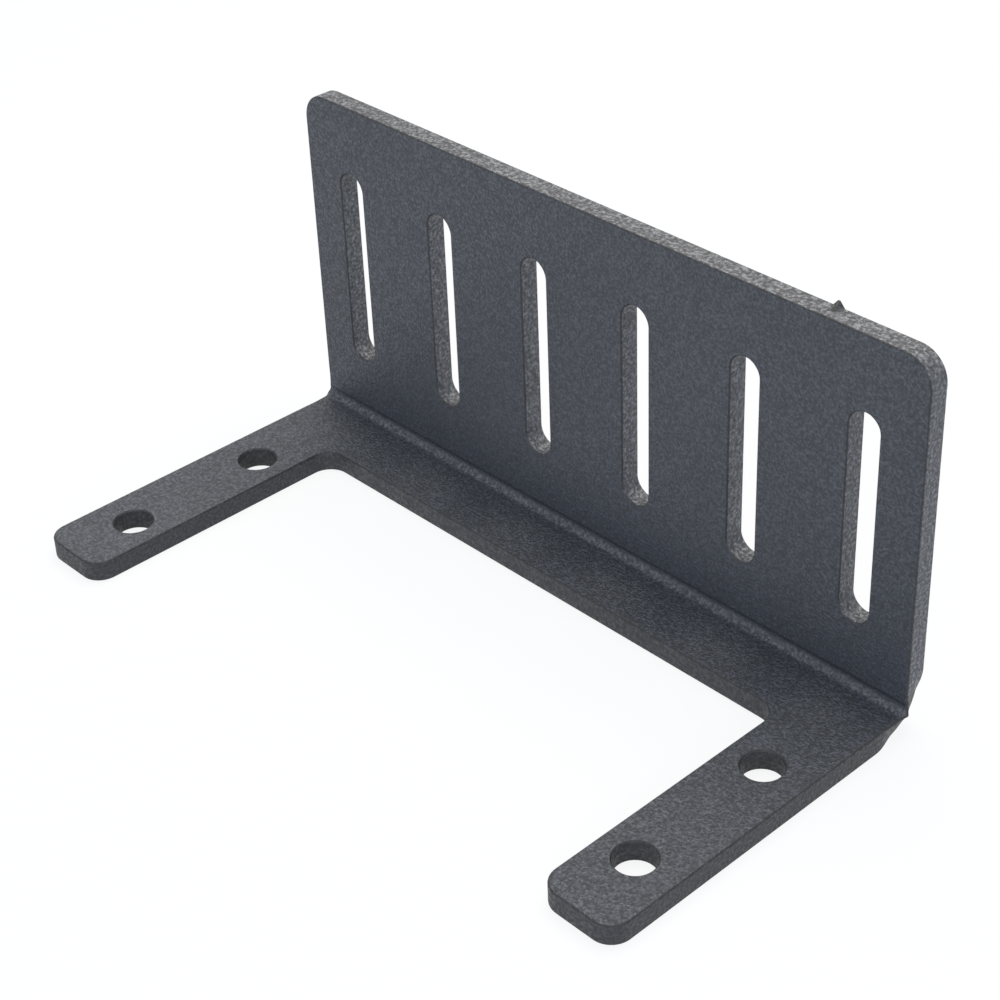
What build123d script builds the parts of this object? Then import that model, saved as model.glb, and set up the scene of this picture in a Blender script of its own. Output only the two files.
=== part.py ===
"""Motor mounting bracket: one steel sheet, cut flat to a U with a slotted back, then folded once.

Millimetres. X runs along the fold, +Y towards the upright flange, +Z up.
The origin is under the middle of the bracket, on the plane it stands on.
"""
import math
import os

from build123d import *

# ---------------------------------------------------------------- the sheet
STEEL = 3.0          # sheet thickness before coating
COAT = 0.05          # powder coat on each face
EDGE_SOFT = 0.28     # how far the coat and the deburring round the outline
RIM_BREAK = 0.18     # flat broken on the rims of the holes and slots

# ---------------------------------------------------------- overall outline
LENGTH = 110.0       # along the fold
DEPTH = 54.7         # arm ends to the back of the flange
HEIGHT = 53.0        # underside of the base to the top of the flange
FOLD_INNER_R = 1.2   # inside radius of the fold

# ------------------------------------------------------------ U-shaped base
ARM_WIDTH = 11.8     # across each arm
WEB_DEPTH = 13.1     # strip left along the fold, from the back of the flange
NOTCH_R = 3.0        # inner corners between the web and the arms
ARM_END_R = 3.0      # corners at the arm ends

# ---------------------------------------------------- round holes in the arms
HOLE_D = 5.5         # clearance for M5 bolts
HOLE_FROM_SIDE = 6.4 # hole centre from the outer side of its arm
HOLE_FROM_END = 10.4 # outer hole centre from the arm end
HOLE_PITCH = 22.0    # between the two holes of one arm

# --------------------------------------------------- slots in the flange
SLOT_COUNT = 6
SLOT_FROM_END = 9.0  # middle of the first and last slot from the ends of the flange
SLOT_WIDTH = 4.6     # clearance for M4 bolts
SLOT_LENGTH = 30.1   # tip to tip
SLOT_BELOW_TOP = 25.3  # top of the flange down to the middle of the slots
FLANGE_CORNER_R = 4.0

# ---- how the fold distorts the ends of the bend, in shares of the sheet thickness
BULGE_SHARE = 0.225  # the squeezed inner side pushes out past the end
DRAW_SHARE = 0.39    # the stretched outer side pulls back from the end
REACH_SHARE = 2.1    # how far either way from the middle of the fold this runs

# ------------------------- nib torn up on the top edge where the cutter left off
NIB_X = 38.4         # its foot at the front face, from the middle of the flange
NIB_HEIGHT = 0.8     # peak above the top edge
NIB_WIDTH = 1.8      # at the back face
NIB_LEAN = 0.7       # how far it drifts along X on its way to the back
CREASE_WIDTH = 0.45  # V cut beside the nib, from the front face
CREASE_DEPTH = 0.22

# ------------------------------------------------------------ worked out here
SHEET = STEEL + 2 * COAT
FOLD_OUTER_R = FOLD_INNER_R + SHEET
INNER_BULGE = BULGE_SHARE * SHEET
OUTER_DRAW = DRAW_SHARE * SHEET
BEND_REACH = REACH_SHARE * SHEET
HALF_L = LENGTH / 2
BACK = DEPTH / 2                    # back face of the flange
FRONT = -DEPTH / 2                  # ends of the arms
FACE = BACK - SHEET                 # front face of the flange
WEB_EDGE = BACK - WEB_DEPTH         # front edge of the web
FOLD_Y = FACE - FOLD_INNER_R        # centre line of the fold
FOLD_Z = SHEET + FOLD_INNER_R
SPARE = 2.0                         # extra length trimmed off the ends


def folded_blank():
    """The L section pushed along X, a little long, with the fold rounded inside and out."""
    with BuildPart() as blank:
        with BuildSketch(Plane.YZ.offset(-HALF_L - SPARE)):
            with BuildLine():
                Polyline(
                    (FRONT, 0),
                    (BACK, 0),
                    (BACK, HEIGHT),
                    (FACE, HEIGHT),
                    (FACE, SHEET),
                    (FRONT, SHEET),
                    close=True,
                )
            make_face()
        extrude(amount=LENGTH + 2 * SPARE)
        along = blank.edges().filter_by(Axis.X)
        inner = [e for e in along if abs(e.center().Y - FACE) < 0.01 and abs(e.center().Z - SHEET) < 0.01]
        fillet(inner, FOLD_INNER_R)
        along = blank.edges().filter_by(Axis.X)
        outer = [e for e in along if abs(e.center().Y - BACK) < 0.01 and abs(e.center().Z) < 0.01]
        fillet(outer, FOLD_OUTER_R)
    return blank.part


def fold_swell(run):
    """How much of the end distortion is felt at a distance run from the middle of the fold."""
    if abs(run) >= BEND_REACH:
        return 0.0
    return math.cos(math.pi * run / (2 * BEND_REACH)) ** 2


def point_in_section(run, depth):
    """Y and Z of a point at a run along the middle of the sheet and a depth from its inner side."""
    half_fold = (FOLD_INNER_R + SHEET / 2) * math.pi / 4
    radius = FOLD_INNER_R + depth
    if run > half_fold:
        return FOLD_Y + radius, FOLD_Z + (run - half_fold)
    if run < -half_fold:
        return FOLD_Y + (run + half_fold), FOLD_Z - radius
    turn = math.pi / 4 * (1 + run / half_fold)
    return FOLD_Y + radius * math.sin(turn), FOLD_Z - radius * math.cos(turn)


def end_rail(depth):
    """Curve across the end of the bend at one depth in the sheet, in the plus X end."""
    shift_per_depth = (INNER_BULGE + OUTER_DRAW) / SHEET
    steps = 16
    points = []
    for i in range(steps + 1):
        run = -BEND_REACH + 2 * BEND_REACH * i / steps
        y, z = point_in_section(run, depth)
        x = HALF_L + (INNER_BULGE - shift_per_depth * depth) * fold_swell(run)
        points.append((x, y, z))
    return Edge.make_spline([Vector(*p) for p in points])


def end_trim():
    """Everything past the plus X end: two flat pieces and the slanting one at the bend."""
    over = 0.8
    surface = Face.make_surface_from_curves(end_rail(-over), end_rail(SHEET + over))
    bend_piece = Solid.extrude(surface, Vector(SPARE + 4, 0, 0))
    flat_from = BEND_REACH - (FOLD_INNER_R + SHEET / 2) * math.pi / 4
    size_x = SPARE + 4
    up = Pos(HALF_L + size_x / 2, BACK, FOLD_Z + flat_from + HEIGHT / 2) * Box(size_x, 20, HEIGHT)
    out = Pos(HALF_L + size_x / 2, FOLD_Y - flat_from - DEPTH / 2, 0) * Box(size_x, DEPTH, 20)
    return [bend_piece, up, out]


def notch():
    """The opening between the arms."""
    width = LENGTH - 2 * ARM_WIDTH
    run_out = 10.0
    with BuildPart() as tool:
        with BuildSketch(Plane.XY.offset(-1)):
            with Locations((0, WEB_EDGE)):
                Rectangle(width, WEB_EDGE - FRONT + run_out, align=(Align.CENTER, Align.MAX))
        extrude(amount=SHEET + 2)
        inner = [e for e in tool.edges().filter_by(Axis.Z) if e.center().Y > WEB_EDGE - 0.1]
        fillet(inner, NOTCH_R)
    return tool.part


def arm_holes():
    """The four bolt holes, as cylinders."""
    tools = []
    for side in (-1, 1):
        for row in (0, 1):
            x = side * (HALF_L - HOLE_FROM_SIDE)
            y = FRONT + HOLE_FROM_END + row * HOLE_PITCH
            tools.append(Pos(x, y, SHEET / 2) * Cylinder(HOLE_D / 2, SHEET + 2))
    return tools


def flange_slots():
    """The six upright slots, as round-ended bars across the flange."""
    tools = []
    middle_z = HEIGHT - SLOT_BELOW_TOP
    pitch = (LENGTH - 2 * SLOT_FROM_END) / (SLOT_COUNT - 1)
    for i in range(SLOT_COUNT):
        x = -HALF_L + SLOT_FROM_END + i * pitch
        with BuildPart() as tool:
            with BuildSketch(Plane.XZ.offset(-BACK - 1)):
                with Locations((x, middle_z)):
                    SlotOverall(SLOT_LENGTH, SLOT_WIDTH, rotation=90)
            extrude(amount=SHEET + 2)
        tools.append(tool.part)
    return tools


def cut_bracket():
    """The folded blank with its ends, opening, holes and slots cut."""
    body = folded_blank()
    for tool in end_trim():
        body = body - tool
        body = body - mirror(tool, about=Plane.YZ)
    body = body - notch()
    upright = body.edges().filter_by(Axis.Z)
    arm_corners = [e for e in upright if abs(e.center().Y - FRONT) < 0.01 and e.length < SHEET + 0.1]
    body = fillet(arm_corners, ARM_END_R)
    across = body.edges().filter_by(Axis.Y)
    top_corners = [e for e in across if abs(e.center().Z - HEIGHT) < 0.01]
    body = fillet(top_corners, FLANGE_CORNER_R)
    for tool in arm_holes() + flange_slots():
        body = body - tool
    return body


def nib():
    """A small torn peak on the top edge: nothing at the front face, highest at the back."""
    sunk = 2 * EDGE_SOFT
    drift = NIB_LEAN / 2
    foot = Polygon(
        (NIB_X, FACE + EDGE_SOFT / 2),
        (NIB_X + NIB_WIDTH - drift, FACE + SHEET / 3),
        (NIB_X + NIB_WIDTH + drift / 2, BACK - 0.05),
        (NIB_X + drift / 2, BACK - 0.05),
        align=None,
    )
    peak_x = NIB_X + NIB_LEAN
    tip = Polygon(
        (peak_x - 0.08, BACK - 0.35),
        (peak_x + 0.18, BACK - 0.35),
        (peak_x + 0.22, BACK - 0.15),
        (peak_x - 0.08, BACK - 0.15),
        align=None,
    )
    return loft([Pos(0, 0, HEIGHT - sunk) * foot, Pos(0, 0, HEIGHT + NIB_HEIGHT) * tip], ruled=True)


def crease():
    """The V-shaped scratch that runs from the front face into the foot of the nib."""
    reach = SHEET * 0.7
    turn = math.degrees(math.atan2(NIB_LEAN, SHEET))
    vee = Polygon(
        (-CREASE_WIDTH / 2, 0.1 * CREASE_DEPTH),
        (CREASE_WIDTH / 2, 0.1 * CREASE_DEPTH),
        (0, -CREASE_DEPTH),
        align=None,
    )
    bar = extrude(Plane.XZ * vee, amount=-(reach + 0.5))
    return Pos(NIB_X - 0.1, FACE - 0.5, HEIGHT) * Rot(0, 0, -turn) * bar


def in_slot(edge):
    """True for every edge of the flange slots."""
    spot = edge.center()
    off_middle = abs(spot.Z - (HEIGHT - SLOT_BELOW_TOP))
    return off_middle < SLOT_LENGTH / 2 + 0.1 and abs(spot.X) < HALF_L - 1


def is_rim(edge):
    """True for the edges where a hole or a slot meets a face of the sheet."""
    if edge.is_closed:
        return True
    depth = edge.center().Y - FACE
    on_face = abs(depth) < 0.01 or abs(depth - SHEET) < 0.01
    return in_slot(edge) and on_face


def softened(body):
    """Outline edges rounded over, and the rims of the holes and slots just broken."""
    outline = [e for e in body.edges() if not e.is_closed and not in_slot(e)]
    body = fillet(outline, EDGE_SOFT)
    rims = [e for e in body.edges() if is_rim(e)]
    return chamfer(rims, RIM_BREAK)


def build_bracket():
    """The whole bracket: cut, edges softened, then the flaw on the top edge."""
    body = softened(cut_bracket())
    body = body - crease()
    body = body + nib()
    return body


if __name__ == "__main__":
    bracket = build_bracket()
    solids = bracket.solids()
    print("solids", len(solids), "valid", bracket.is_valid, "volume", round(bracket.volume, 1))
    print("size", bracket.bounding_box().size)
    os.makedirs("parts", exist_ok=True)
    export_step(solids[0], "parts/bracket.step")
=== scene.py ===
# %% [markdown]
# # A motor mounting bracket in sand-texture powder coat
# The bracket is one piece of 3 mm sheet steel. A laser cuts the flat outline with its holes and slots,
# a press folds it once, and it is then powder coated black. The solid model already has its true form:
# the fold, the drawn-in ends of the bend, the softened edges and a small nib left on the top edge.
# So the mesh stays as it is, and this lesson makes the finish, the floor, the light and the camera.

# %% Load the bracket
import bpy
from math import acos, degrees, radians
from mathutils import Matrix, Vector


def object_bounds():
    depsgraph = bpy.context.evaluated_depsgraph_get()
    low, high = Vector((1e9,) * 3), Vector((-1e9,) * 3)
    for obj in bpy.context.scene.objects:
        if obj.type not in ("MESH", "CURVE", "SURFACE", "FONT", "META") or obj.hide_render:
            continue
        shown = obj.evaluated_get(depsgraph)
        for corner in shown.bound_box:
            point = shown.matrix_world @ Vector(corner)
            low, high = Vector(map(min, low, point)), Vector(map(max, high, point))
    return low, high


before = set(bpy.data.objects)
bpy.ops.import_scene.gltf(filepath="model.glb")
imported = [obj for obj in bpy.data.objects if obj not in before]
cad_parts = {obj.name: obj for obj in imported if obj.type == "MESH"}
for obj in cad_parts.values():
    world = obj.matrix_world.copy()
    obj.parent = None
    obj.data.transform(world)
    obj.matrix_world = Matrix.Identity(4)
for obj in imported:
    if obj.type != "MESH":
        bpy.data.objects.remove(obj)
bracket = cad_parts["bracket"]
cad_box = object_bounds()
low, high = cad_box
print("bracket, mm:", [round((b - a) * 1000, 1) for a, b in zip(low, high)])

# %% [markdown]
# ## Units and small helpers
# Blender works in metres, and a maker of brackets in millimetres, so sizes are written in mm and turned
# once. Colours are picked as sRGB hex values, as on a paint card, but a shader adds up light, so one
# function turns them to linear. Node trees could be built with the mouse; in code, one function that
# adds any node with its settings and its inputs keeps each recipe short enough to read.

# %% Millimetres and colours
MM = 0.001


def linear(hex_colour):
    """An sRGB hex colour as linear red, green, blue and alpha."""
    parts = [int(hex_colour[i:i + 2], 16) / 255 for i in (1, 3, 5)]
    return [c / 12.92 if c <= 0.04045 else ((c + 0.055) / 1.055) ** 2.4 for c in parts] + [1.0]


print("half grey #808080 is linear", [round(c, 3) for c in linear("#808080")[:3]])


# %% Adding nodes
def add(tree, kind, inputs=None, **settings):
    """Adds one node with its settings. An input takes a value, a socket, or a node for its first output."""
    made = tree.nodes.new("ShaderNode" + kind)
    for name, value in settings.items():
        setattr(made, name, value)
    for name, value in (inputs or {}).items():
        if isinstance(value, bpy.types.Node):
            value = value.outputs[0]
        if isinstance(value, bpy.types.NodeSocket):
            tree.links.new(value, made.inputs[name])
        else:
            made.inputs[name].default_value = value
    return made


def new_material(name):
    """An empty node material and its tree."""
    material = bpy.data.materials.new(name)
    material.use_nodes = True
    material.node_tree.nodes.clear()
    return material, material.node_tree


coat_material, coat = new_material("sand_texture_powder_coat")
print("empty material:", coat_material.name)

# %% [markdown]
# ## Which part of the sheet a spot belongs to
# Powder clings differently to a rolled sheet face and to a laser-cut edge, so the finish has to know
# which is which. A painter could mask the edges by hand; here the fold gives a rule. The place of a spot
# says whether it is on the upright flange, on the flat foot or in the bend between them, and its normal
# says which way it faces. Nothing has to be painted, and the rule doesn't depend on the camera.

# %% Flange, foot and bend
FOLD_HEIGHT = 5.0 * MM

spot = add(coat, "TexCoord")
place = spot.outputs["Object"]
at = add(coat, "SeparateXYZ", {0: place})
flange = add(coat, "Math", {0: at.outputs["Z"], 1: FOLD_HEIGHT}, operation="GREATER_THAN")
foot = add(coat, "Math", {0: at.outputs["Y"], 1: high.y - FOLD_HEIGHT}, operation="LESS_THAN")
flat = add(coat, "Math", {0: flange, 1: foot}, operation="MAXIMUM")
bend = add(coat, "Math", {0: 1.0, 1: flat}, operation="SUBTRACT")
print("the bend lies within", FOLD_HEIGHT / MM, "mm of the base and of the back")

# %% How squarely a spot faces the way its sheet faces
# forward on the flange, upward on the foot, and anything but sideways in the bend
look = add(coat, "SeparateXYZ", {0: spot.outputs["Normal"]})
across = add(coat, "Math", {0: look.outputs["X"]}, operation="ABSOLUTE")
forward = add(coat, "Math", {0: look.outputs["Y"]}, operation="ABSOLUTE")
upward = add(coat, "Math", {0: look.outputs["Z"]}, operation="ABSOLUTE")
sideways = add(coat, "Math", {0: across, 1: across}, operation="MULTIPLY")
not_sideways = add(coat, "Math", {0: 1.0, 1: sideways}, operation="SUBTRACT")
around_bend = add(coat, "Math", {0: not_sideways}, operation="SQRT")
square_in_bend = add(coat, "Math", {0: around_bend, 1: bend}, operation="MULTIPLY")
square_on_flange = add(coat, "Math", {0: forward, 1: flange}, operation="MULTIPLY")
square_on_foot = add(coat, "Math", {0: upward, 1: foot}, operation="MULTIPLY")
square_on_flat = add(coat, "Math", {0: square_on_flange, 1: square_on_foot}, operation="MAXIMUM")
square = add(coat, "Math", {0: square_in_bend, 1: square_on_flat}, operation="MAXIMUM")
print("facing: 1 on the sheet's faces, 0 on its cut edges")

# %% [markdown]
# ## Cut edges and their rims
# A laser-cut edge is striated and a little burnt, so the coat on it is coarser. Between the face and the
# edge is a softened rim, and a narrow dark line is drawn there as painted shade, where the rim turns from
# the
# light. Both come from the facing value: the edge where it is low, the rim where it is in between.

# %% Masks for the cut edges, and for the painted shade on their rims
EDGE_STARTS, EDGE_FULL = 0.82, 0.55
RIM_STARTS, RIM_FULL = 0.99, 0.90
RIM_ENDS, RIM_FADES = 0.15, 0.45

edge = add(coat, "MapRange", {"Value": square, "From Min": EDGE_STARTS, "From Max": EDGE_FULL},
           interpolation_type="SMOOTHSTEP")
rim_from_face = add(coat, "MapRange", {"Value": square, "From Min": RIM_STARTS, "From Max": RIM_FULL},
                    interpolation_type="SMOOTHSTEP")
rim_to_edge = add(coat, "MapRange", {"Value": square, "From Min": RIM_ENDS, "From Max": RIM_FADES},
                  interpolation_type="SMOOTHSTEP")
rim = add(coat, "Math", {0: rim_from_face, 1: rim_to_edge}, operation="MULTIPLY")
edge_angles = [round(degrees(acos(facing))) for facing in (EDGE_STARTS, EDGE_FULL)]
print("the cut edge sets in between", edge_angles, "degrees off the sheet's face")

# %% [markdown]
# ## The inside of the fold, the crease and the nib
# The press squeezes the inner side of the fold, and the coat there is drawn a little coarser, and paler as
# a painted highlight along the bend. A crease runs just above the bend, and the blank keeps a small nib on
# its top edge. Both are drawn darker, as painted shade in the crease and on the nib's shaded facet. Their
# masks come from heights above the base.

# %% Mask for the inside of the fold
SHEET_THICKNESS = 3.1 * MM
JUST_INSIDE = 0.97
TURN_STARTS, TURN_FULL = 0.12, 0.4

above = add(coat, "Math", {0: at.outputs["Z"], 1: SHEET_THICKNESS * JUST_INSIDE}, operation="GREATER_THAN")
before = add(coat, "Math", {0: at.outputs["Y"], 1: high.y - SHEET_THICKNESS * JUST_INSIDE},
             operation="LESS_THAN")
inner_side = add(coat, "Math", {0: above, 1: before}, operation="MULTIPLY")
slant = add(coat, "Math", {0: forward, 1: upward}, operation="MULTIPLY")
turning = add(coat, "MapRange", {"Value": slant, "From Min": TURN_STARTS, "From Max": TURN_FULL},
              interpolation_type="SMOOTHSTEP")
turning_in_bend = add(coat, "Math", {0: turning, 1: bend}, operation="MULTIPLY")
fold = add(coat, "Math", {0: turning_in_bend, 1: inner_side}, operation="MULTIPLY")
print("the fold's inner side starts", SHEET_THICKNESS / MM, "mm above the base")

# %% Mask for the painted shade in the crease and on the nib
CREASE_AT = 4.5 * MM
CREASE_WIDTH = 0.35 * MM
NIB_HEIGHT = 0.8 * MM
NIB_STARTS, NIB_FULL = 0.05 * MM, 0.25 * MM

top_edge = high.z - NIB_HEIGHT
nib = add(coat, "MapRange", {"Value": at.outputs["Z"], "From Min": top_edge + NIB_STARTS,
                             "From Max": top_edge + NIB_FULL}, interpolation_type="SMOOTHSTEP")
crease_below = add(coat, "MapRange", {"Value": at.outputs["Z"], "From Min": CREASE_AT - CREASE_WIDTH,
                                      "From Max": CREASE_AT}, interpolation_type="SMOOTHSTEP")
crease_above = add(coat, "MapRange", {"Value": at.outputs["Z"], "From Min": CREASE_AT + CREASE_WIDTH,
                                      "From Max": CREASE_AT}, interpolation_type="SMOOTHSTEP")
crease_band = add(coat, "Math", {0: crease_below, 1: crease_above}, operation="MULTIPLY")
crease = add(coat, "Math", {0: before, 1: crease_band}, operation="MULTIPLY")
nib_or_crease = add(coat, "Math", {0: nib, 1: crease}, operation="MAXIMUM")
print("crease at", CREASE_AT / MM, "mm, top edge under the nib at", round(top_edge / MM, 1), "mm")

# %% [markdown]
# ## The finish: sand-texture polyester powder coat on steel
# A fine-texture polyester powder is sprayed on dry and baked at about 200 degrees. It doesn't level out:
# it cures in tight grains, which break up the shine, so the coat reads as a dark grey felt of light and
# dark grains. An image texture, or a displaced mesh with millions of faces, could make the grains. Noise
# does it with no image and no extra mesh: a fine layer for the grains, a broader one for the clumps, and
# a third, much larger, for the slight clouding that spraying leaves.

# %% Grains, clumps and clouds
# drawn as wide as it takes to show: a real fine texture can have finer grains than 0.2 mm
GRAIN = 0.20 * MM
EDGE_GRAIN = 0.25 * MM
CLUMP = 1.5 * MM
CLOUD = 14.0 * MM
LUMP_IN_CELL = 0.55
GRAIN_DETAIL, BROAD_DETAIL = 2.0, 3.0
NOISE_ROUGHNESS = 0.6

fine_grains = add(coat, "TexNoise", {"Vector": place, "Scale": LUMP_IN_CELL / GRAIN,
                                     "Detail": GRAIN_DETAIL, "Roughness": NOISE_ROUGHNESS},
                  noise_dimensions="3D")
edge_grains = add(coat, "TexNoise", {"Vector": place, "Scale": LUMP_IN_CELL / EDGE_GRAIN,
                                     "Detail": GRAIN_DETAIL, "Roughness": NOISE_ROUGHNESS},
                  noise_dimensions="3D")
clumps = add(coat, "TexNoise", {"Vector": place, "Scale": LUMP_IN_CELL / CLUMP,
                                "Detail": BROAD_DETAIL, "Roughness": NOISE_ROUGHNESS},
             noise_dimensions="3D")
cloud_noise = add(coat, "TexNoise", {"Vector": place, "Scale": LUMP_IN_CELL / CLOUD,
                                     "Detail": BROAD_DETAIL, "Roughness": NOISE_ROUGHNESS},
                  noise_dimensions="3D")
coarse_area = add(coat, "Math", {0: edge, 1: fold}, operation="MAXIMUM")
sand = add(coat, "Mix", {0: coarse_area, 2: fine_grains, 3: edge_grains}, data_type="FLOAT")
print("grains about", GRAIN / MM, "mm wide on faces,", EDGE_GRAIN / MM, "mm on cut edges")

# %% [markdown]
# ## Level faces and the colours of the grains
# Powder settles thicker on a level face, so there the grains stand out more. A grain that stands up is
# also paler, so one height value picks the colour: from the pit, through the middle, to the crown. The
# faces are a slightly bluish dark grey. The flange's cut edges and the slot walls are painted paler, as
# painted light where the lamps fall on them, and the foot's low edges are painted darker, as painted shade
# by the floor.

# %% Stronger grains on level faces
LEVEL_BUILD_UP = 1.7
LEVEL_STARTS, LEVEL_FULL = 0.3, 0.95
MIDDLE_HEIGHT = 0.5

build_up = add(coat, "MapRange", {"Value": upward, "From Min": LEVEL_STARTS, "From Max": LEVEL_FULL,
                                  "To Min": 1.0, "To Max": LEVEL_BUILD_UP},
               interpolation_type="SMOOTHSTEP")
sand_from_middle = add(coat, "Math", {0: sand, 1: MIDDLE_HEIGHT}, operation="SUBTRACT")
grain = add(coat, "Math", {0: sand_from_middle, 1: build_up, 2: MIDDLE_HEIGHT}, operation="MULTIPLY_ADD")
print("grains on level faces stand out", LEVEL_BUILD_UP, "times as much")

# %% Colours from pit to crown
TONE_HEIGHTS = (0.28, 0.52, 0.75)
# the edge tones are painted light and shade: paler on the flange's cut edges, darker on the foot's low
# edges
TONES = {
    "face": ("#292B2F", "#383B40", "#4F5257"),
    "flange edge painted lit": ("#333436", "#535354", "#7F7F7F"),
    "foot edge painted shaded": ("#1D1E20", "#292A2D", "#3B3D40"),
}

tone = {}
for area, colours in TONES.items():
    tone[area] = add(coat, "ValToRGB", {"Fac": grain})
    stops = tone[area].color_ramp.elements
    stops.new(0.5)
    for stop, tone_height, colour in zip(stops, TONE_HEIGHTS, colours):
        stop.position = tone_height
        stop.color = linear(colour)
print("tones:", {area: colours[1] for area, colours in TONES.items()})

# %% The coat's colour, area by area
# painted highlight: the fold's inner side takes this share of the pale, painted-lit edge colour
FOLD_HIGHLIGHT_SHARE = 0.3

# painted light on the flange and the fold, painted shade on the foot's edges
painted_lit_area = add(coat, "Math", {0: flange, 1: fold}, operation="MAXIMUM")
painted_lit_or_shaded_edge_tone = add(coat, "Mix", {0: painted_lit_area, 6: tone["foot edge painted shaded"], 7: tone["flange edge painted lit"]}, data_type="RGBA")
fold_painted_highlight = add(coat, "Math", {0: fold, 1: FOLD_HIGHLIGHT_SHARE}, operation="MULTIPLY")
edge_share = add(coat, "Math", {0: edge, 1: fold_painted_highlight}, operation="MAXIMUM")
coat_tone = add(coat, "Mix", {0: edge_share, 6: tone["face"], 7: painted_lit_or_shaded_edge_tone.outputs[2]}, data_type="RGBA")
print("the fold takes", FOLD_HIGHLIGHT_SHARE, "of the edges' colour")

# %% Painted shade on the rims, the nib and the crease, and clouds
RIM_PAINTED_SHADE = 0.62
NIB_CREASE_PAINTED_SHADE = 0.6
CLOUD_SHARE = 0.06
CLOUD_STARTS, CLOUD_FULL = 0.3, 0.7

# painted shade: a narrow dark line along each softened rim
rim_painted_shade = add(coat, "Math", {0: rim, 1: RIM_PAINTED_SHADE}, operation="MULTIPLY")
# painted shade in the crease and on the nib's shaded facet
nib_crease_painted_shade = add(coat, "Math", {0: nib_or_crease, 1: NIB_CREASE_PAINTED_SHADE}, operation="MULTIPLY")
# painted shade from the rims, the nib and the crease, which darkens the coat's colour below
painted_shade = add(coat, "Math", {0: rim_painted_shade, 1: nib_crease_painted_shade}, operation="MAXIMUM")
painted_shade_factor = add(coat, "Math", {0: 1.0, 1: painted_shade}, operation="SUBTRACT")
clouds = add(coat, "MapRange", {"Value": cloud_noise, "From Min": CLOUD_STARTS, "From Max": CLOUD_FULL,
                                "To Min": 1 - CLOUD_SHARE, "To Max": 1 + CLOUD_SHARE},
             interpolation_type="SMOOTHSTEP")
shade = add(coat, "Math", {0: painted_shade_factor, 1: clouds}, operation="MULTIPLY")
colour = add(coat, "VectorMath", {0: coat_tone.outputs[2], "Scale": shade}, operation="SCALE")
print("clouds vary the colour by", round(CLOUD_SHARE * 100), "% each way")

# %% [markdown]
# ## Gloss and relief
# Cured polyester is a plain dielectric with an IOR of about 1.5. The crowns of the grains are smoother
# than the pits between them, so the same noise sets the gloss. Bump makes the grains catch the light.

# %% Put the coat on the bracket
PIT_ROUGHNESS, CROWN_ROUGHNESS = 0.62, 0.40
GLOSS_STARTS, GLOSS_FULL = 0.35, 0.7
CLUMP_HEIGHT = 0.5
# taller than a real coat, so that grains this fine still show their relief
GRAIN_HEIGHT = 0.17 * MM
BUMP_STRENGTH = 0.8
POLYESTER_IOR = 1.5

gloss = add(coat, "MapRange", {"Value": sand, "From Min": GLOSS_STARTS, "From Max": GLOSS_FULL,
                               "To Min": PIT_ROUGHNESS, "To Max": CROWN_ROUGHNESS},
            interpolation_type="SMOOTHSTEP")
height = add(coat, "Math", {0: clumps, 1: CLUMP_HEIGHT, 2: grain}, operation="MULTIPLY_ADD")
relief = add(coat, "Bump", {"Strength": BUMP_STRENGTH, "Distance": GRAIN_HEIGHT, "Height": height})
paint = add(coat, "BsdfPrincipled", {"Base Color": colour, "Roughness": gloss, "IOR": POLYESTER_IOR,
                                     "Metallic": 0.0, "Normal": relief})
add(coat, "OutputMaterial", {"Surface": paint})
for material_slot in bracket.material_slots:
    material_slot.material = coat_material
print("coat of", len(coat.nodes), "nodes on", len(bracket.material_slots), "slot")

# %% [markdown]
# ## The floor
# The bracket stands on a white sweep. A plain white plane would render light grey and take a heavy
# shadow; more lamps would bleach the bracket. So what the camera sees of the floor is part glow and
# part paint: the glow keeps it white and the painted part still takes the soft contact shadow.

# %% White floor
FLOOR_SIZE = 1.2
FLOOR_GAP = 0.02 * MM
FLOOR_GLOW = 0.88

bpy.ops.mesh.primitive_plane_add(size=FLOOR_SIZE, location=(0, 0, low.z - FLOOR_GAP))
floor = bpy.context.object
floor.name = "floor"
sweep_material, sweep = new_material("white_sweep")
paper = add(sweep, "BsdfDiffuse", {"Color": linear("#E6E6E6")})
glow = add(sweep, "Emission", {"Color": linear("#FFFFFF"), "Strength": 1.0})
floor_ray = add(sweep, "LightPath")
floor_seen = add(sweep, "Math", {0: floor_ray.outputs["Is Camera Ray"],
                                 1: floor_ray.outputs["Is Glossy Ray"]}, operation="MAXIMUM")
glow_share = add(sweep, "Math", {0: floor_seen, 1: FLOOR_GLOW}, operation="MULTIPLY")
sweep_surface = add(sweep, "MixShader", {0: glow_share, 1: paper, 2: glow})
add(sweep, "OutputMaterial", {"Surface": sweep_surface})
floor.data.materials.append(sweep_material)
print("floor", FLOOR_SIZE, "m wide, glow", FLOOR_GLOW)

# %% [markdown]
# ## The light
# A product table is lit by large soft boxes and white walls. One big softbox hangs overhead, a little
# behind the flange, so the arms' top faces are the palest and the flange falls off towards the fold. A
# second stands far off at the front right and lights the flange and the slot walls. The room itself is
# the world: a cool, even light, which shows as plain white to the camera and in reflections.

# %% Softboxes
SOFTBOX_SIZE = 0.42
OVERHEAD_AT, OVERHEAD_WATTS = (-0.06, 0.18, 0.60), 3.6
FRONT_AT, FRONT_WATTS = (0.65, -0.80, 0.42), 4.9


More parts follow.
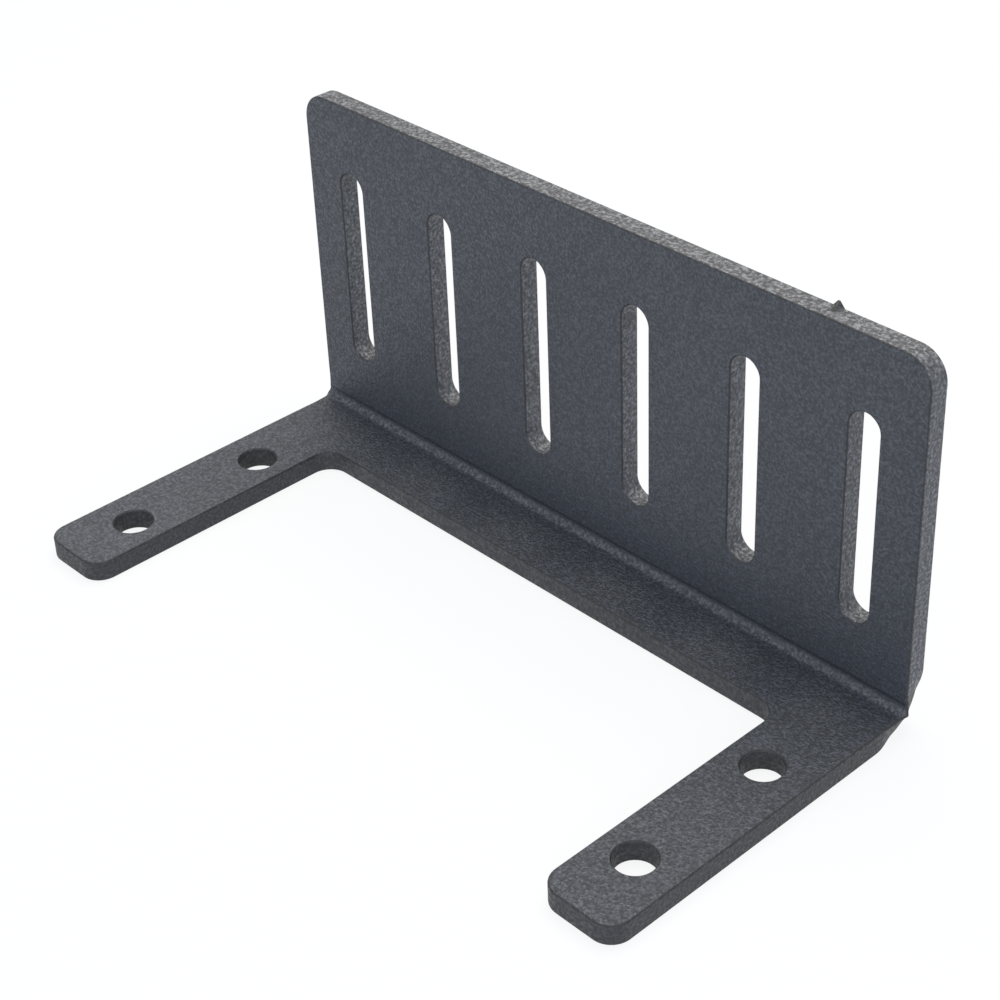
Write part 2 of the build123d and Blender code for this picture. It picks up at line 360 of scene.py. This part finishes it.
def softbox(name, place_at, watts, hex_colour):
    """A square area lamp that looks at the bracket."""
    lamp = bpy.data.lights.new(name, "AREA")
    lamp.size = SOFTBOX_SIZE
    lamp.energy = watts
    lamp.color = linear(hex_colour)[:3]
    holder = bpy.data.objects.new(name, lamp)
    bpy.context.collection.objects.link(holder)
    holder.location = place_at
    centre = (low + high) / 2
    holder.rotation_euler = (centre - holder.location).to_track_quat("-Z", "Y").to_euler()
    return holder


lamps = [
    softbox("overhead_softbox", OVERHEAD_AT, OVERHEAD_WATTS, "#FFF7EA"),
    softbox("front_softbox", FRONT_AT, FRONT_WATTS, "#EFF4FF"),
]
print("lamps:", {lamp.name: round(lamp.data.energy, 1) for lamp in lamps}, "W")

# %% White room
ROOM_STRENGTH = 0.72

world = bpy.data.worlds.new("white_room")
bpy.context.scene.world = world
world.use_nodes = True
room = world.node_tree
room.nodes.clear()
room_ray = add(room, "LightPath")
room_light = add(room, "Background", {"Color": linear("#C9DEFF"), "Strength": ROOM_STRENGTH})
white_walls = add(room, "Background", {"Color": linear("#FFFFFF"), "Strength": 1.0})
room_seen = add(room, "Math", {0: room_ray.outputs["Is Camera Ray"], 1: room_ray.outputs["Is Glossy Ray"]},
                operation="MAXIMUM")
room_surface = add(room, "MixShader", {0: room_seen, 1: room_light, 2: white_walls})
add(room, "OutputWorld", {"Surface": room_surface})
print("room strength", ROOM_STRENGTH)

# %% [markdown]
# ## The camera
# The bracket is looked at from its front right corner and from above, with a lens long enough to keep
# the arms nearly parallel. The small shift places it in the frame without turning the camera.

# %% Camera
CAMERA_AT = (178.1 * MM, -151.4 * MM, 179.0 * MM)
CAMERA_TURN = (radians(57.12), radians(1.39), radians(45.58))
CAMERA_LENS = 80.0
SENSOR_WIDTH = 36.0
CAMERA_SHIFT = (-0.05, -0.05)
NEAREST_SEEN = 10.0 * MM

view = bpy.data.cameras.new("camera")
view.lens = CAMERA_LENS
view.sensor_width = SENSOR_WIDTH
view.shift_x, view.shift_y = CAMERA_SHIFT
view.clip_start = NEAREST_SEEN
camera = bpy.data.objects.new("camera", view)
bpy.context.collection.objects.link(camera)
camera.location = CAMERA_AT
camera.rotation_euler = CAMERA_TURN
bpy.context.scene.camera = camera
bpy.context.scene.view_settings.view_transform = "Standard"
print("camera at", [round(c / MM) for c in CAMERA_AT], "mm, lens", CAMERA_LENS, "mm")
